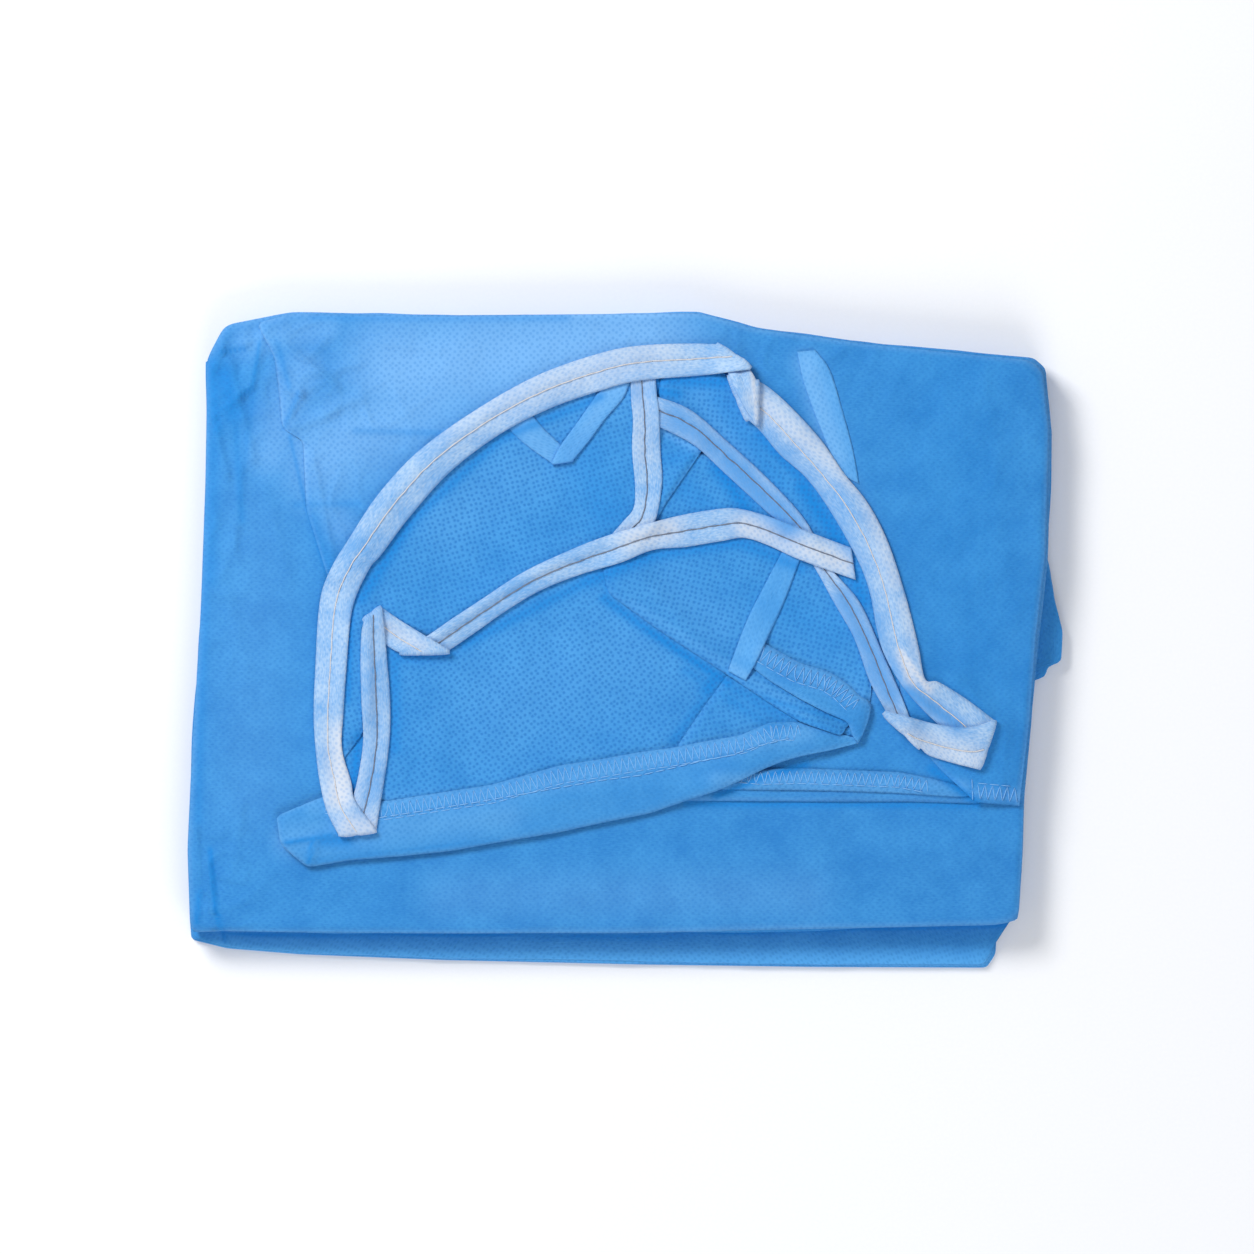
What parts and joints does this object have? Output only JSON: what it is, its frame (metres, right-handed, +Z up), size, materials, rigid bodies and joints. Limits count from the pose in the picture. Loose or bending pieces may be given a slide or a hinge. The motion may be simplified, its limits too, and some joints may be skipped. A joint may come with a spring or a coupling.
{
  "type": "folded disposable surgical gown",
  "caption": "Disposable nonwoven surgical gown folded flat into a packet, its bound neck opening, ties and overlocked hems on top.",
  "frame": {"origin": "centre of the packet's outline on the surface that it lies on", "axes": "+X along the packet's long side, towards the side where the tab of cloth sticks out; +Y towards the straight top edge behind the neck opening; +Z up from the surface"},
  "size_m": [0.2933, 0.2195, 0.0277],
  "materials": {
    "gown_cloth": "matte nonwoven polypropylene with embossed dots",
    "binding_tape": "matte pale nonwoven tape"
  },
  "bodies": {
    "root": {"folded_body": "gown_cloth", "front_body": "gown_cloth", "side_panel": "gown_cloth", "side_hem": "gown_cloth", "left_sleeve": "gown_cloth", "left_sleeve_fold": "gown_cloth", "left_sleeve_hem": "gown_cloth", "right_sleeve": "gown_cloth", "right_sleeve_hem": "gown_cloth", "waist_tie": "gown_cloth", "left_back": "gown_cloth", "back_tie": "gown_cloth", "right_back": "gown_cloth", "front_shoulder": "gown_cloth", "front_tie": "gown_cloth", "neck_tie": "binding_tape", "neck_binding": "binding_tape"}
  },
  "joints": []
}
